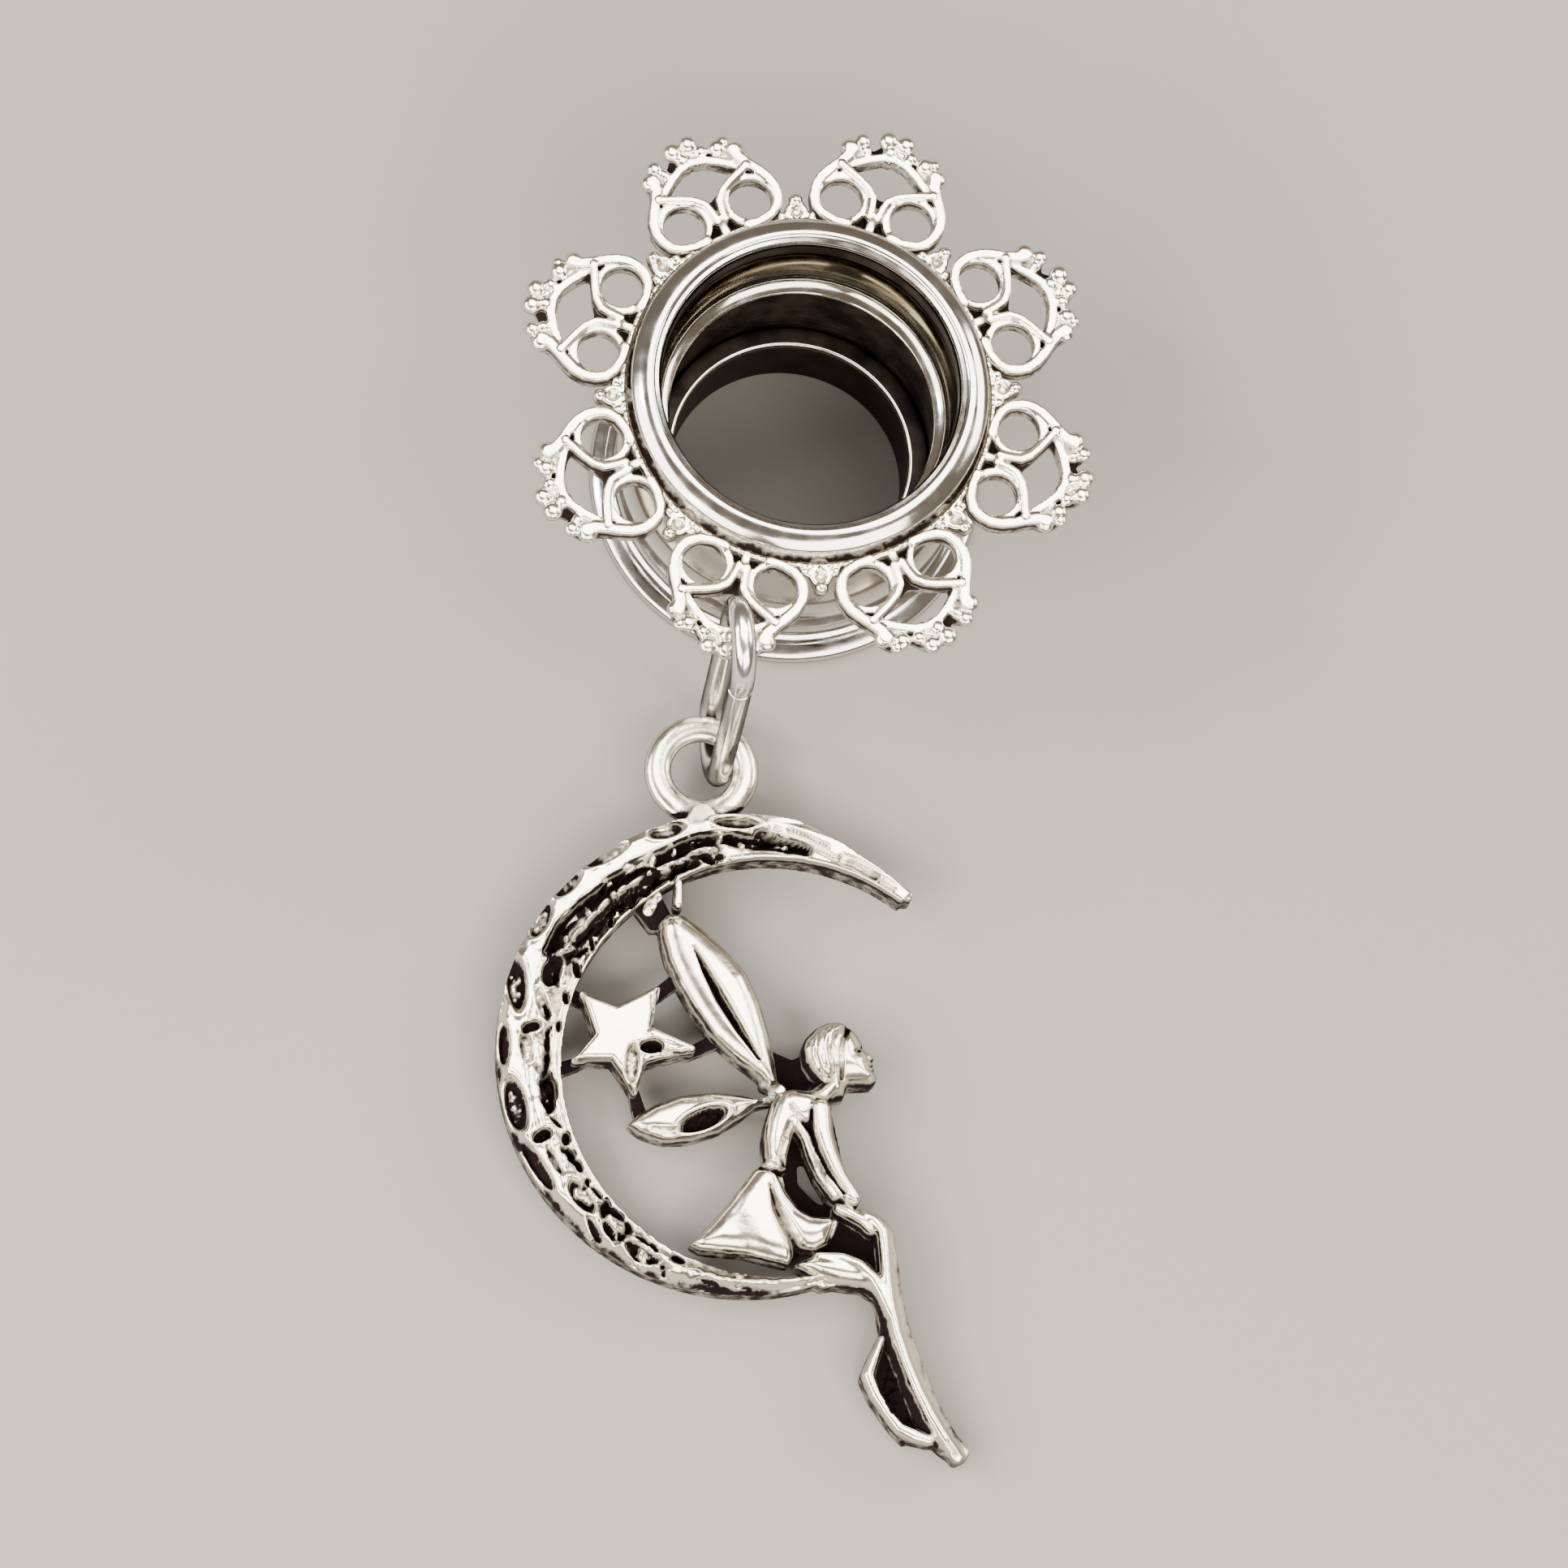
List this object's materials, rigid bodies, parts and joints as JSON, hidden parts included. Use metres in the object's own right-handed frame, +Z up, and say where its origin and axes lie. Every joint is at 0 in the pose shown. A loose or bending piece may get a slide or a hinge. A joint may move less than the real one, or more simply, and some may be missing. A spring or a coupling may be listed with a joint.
{
  "type": "dangle flesh tunnel",
  "caption": "Double-flared steel ear tunnel with a pierced cast flower collar, an oval jump ring and a hanging crescent moon charm with a winged figure.",
  "frame": {"origin": "on the tunnel's axis at the surface it stands on, which is the bottom of the back flare", "axes": "+Z up along the tunnel's axis, out of the front lip; +Y along the object's length, away from the charm; +X to the right, seen from above with the charm nearest"},
  "size_m": [0.0295, 0.0642, 0.0146],
  "materials": {
    "steel": "polished",
    "bright_silver": "polished",
    "antique_silver": "antiqued"
  },
  "bodies": {
    "root": {"tunnel_back": "steel", "tunnel_front": "steel", "filigree_flower": "bright_silver", "jump_ring": "bright_silver", "moon_fairy_charm": "antique_silver"}
  },
  "joints": []
}
